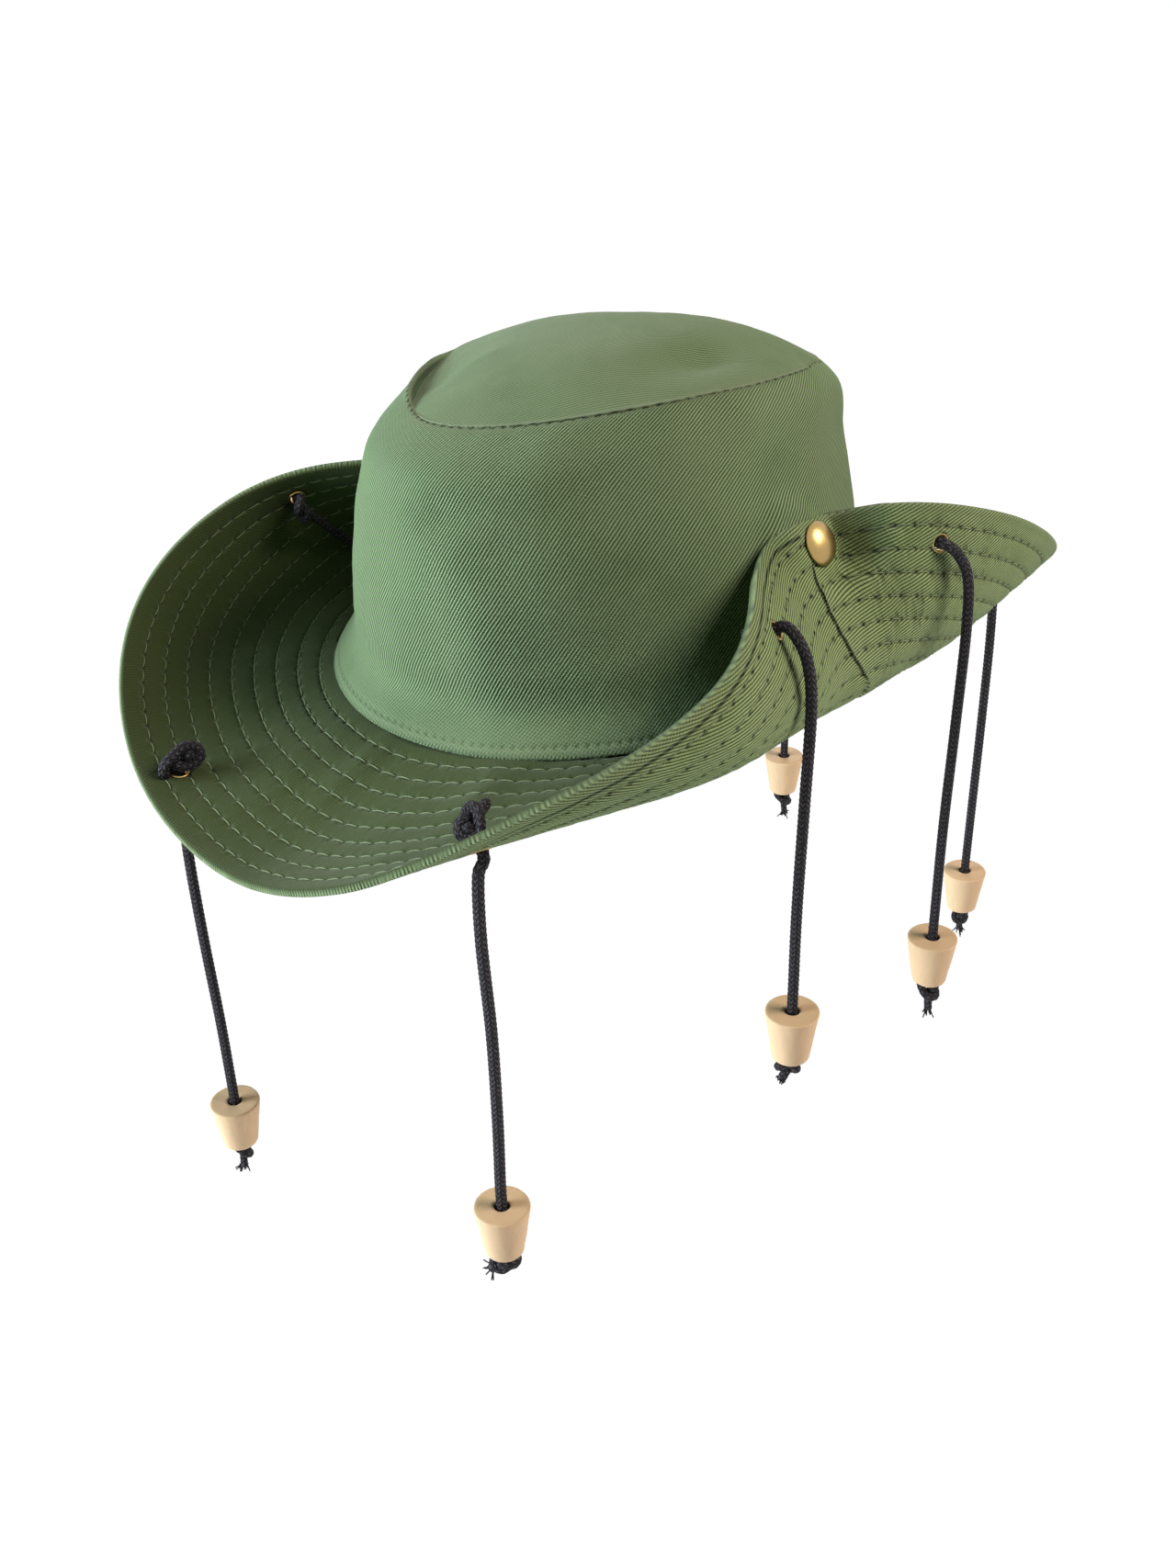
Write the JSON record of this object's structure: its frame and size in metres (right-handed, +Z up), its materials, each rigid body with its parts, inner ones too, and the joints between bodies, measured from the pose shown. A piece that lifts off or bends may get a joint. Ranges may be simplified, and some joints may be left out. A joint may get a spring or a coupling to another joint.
{
  "type": "cork hat",
  "caption": "Cotton twill hat with a tall crown and a wide brim snapped up at both sides. Corks hang on cords from eyelets round the brim.",
  "frame": {"origin": "middle of the head opening, in the plane where the crown is sewn to the brim; the cords and corks hang below it", "axes": "+Z up, -Y to the front of the hat, +X to the wearer's left, where the near press stud is"},
  "size_m": [0.2512, 0.3349, 0.2794],
  "materials": {
    "crown_twill": "matte green cotton twill",
    "brim_twill": "matte green cotton twill with rows of stitching",
    "black_cord": "black braided cord",
    "cork_wood": "pale tan cork",
    "brass": "polished brass"
  },
  "bodies": {
    "root": {"crown_tip": "crown_twill", "crown_wall": "crown_twill", "brim": "brim_twill", "snap_right": "brass", "snap_left": "brass", "eyelet_1": "brass", "eyelet_2": "brass", "eyelet_3": "brass", "eyelet_4": "brass", "eyelet_5": "brass", "eyelet_6": "brass", "eyelet_7": "brass", "eyelet_8": "brass", "cord_1": "black_cord", "cord_2": "black_cord", "cord_3": "black_cord", "cord_4": "black_cord", "cord_5": "black_cord", "cord_6": "black_cord", "cord_7": "black_cord", "cord_8": "black_cord", "knot_1": "black_cord", "knot_2": "black_cord", "knot_3": "black_cord", "knot_4": "black_cord", "knot_5": "black_cord", "knot_6": "black_cord", "knot_7": "black_cord", "knot_8": "black_cord", "cork_1": "cork_wood", "cork_2": "cork_wood", "cork_3": "cork_wood", "cork_4": "cork_wood", "cork_5": "cork_wood", "cork_6": "cork_wood", "cork_7": "cork_wood", "cork_8": "cork_wood", "stop_knot_1": "black_cord", "stop_knot_2": "black_cord", "stop_knot_3": "black_cord", "stop_knot_4": "black_cord", "stop_knot_5": "black_cord", "stop_knot_6": "black_cord", "stop_knot_7": "black_cord", "stop_knot_8": "black_cord"}
  },
  "joints": []
}
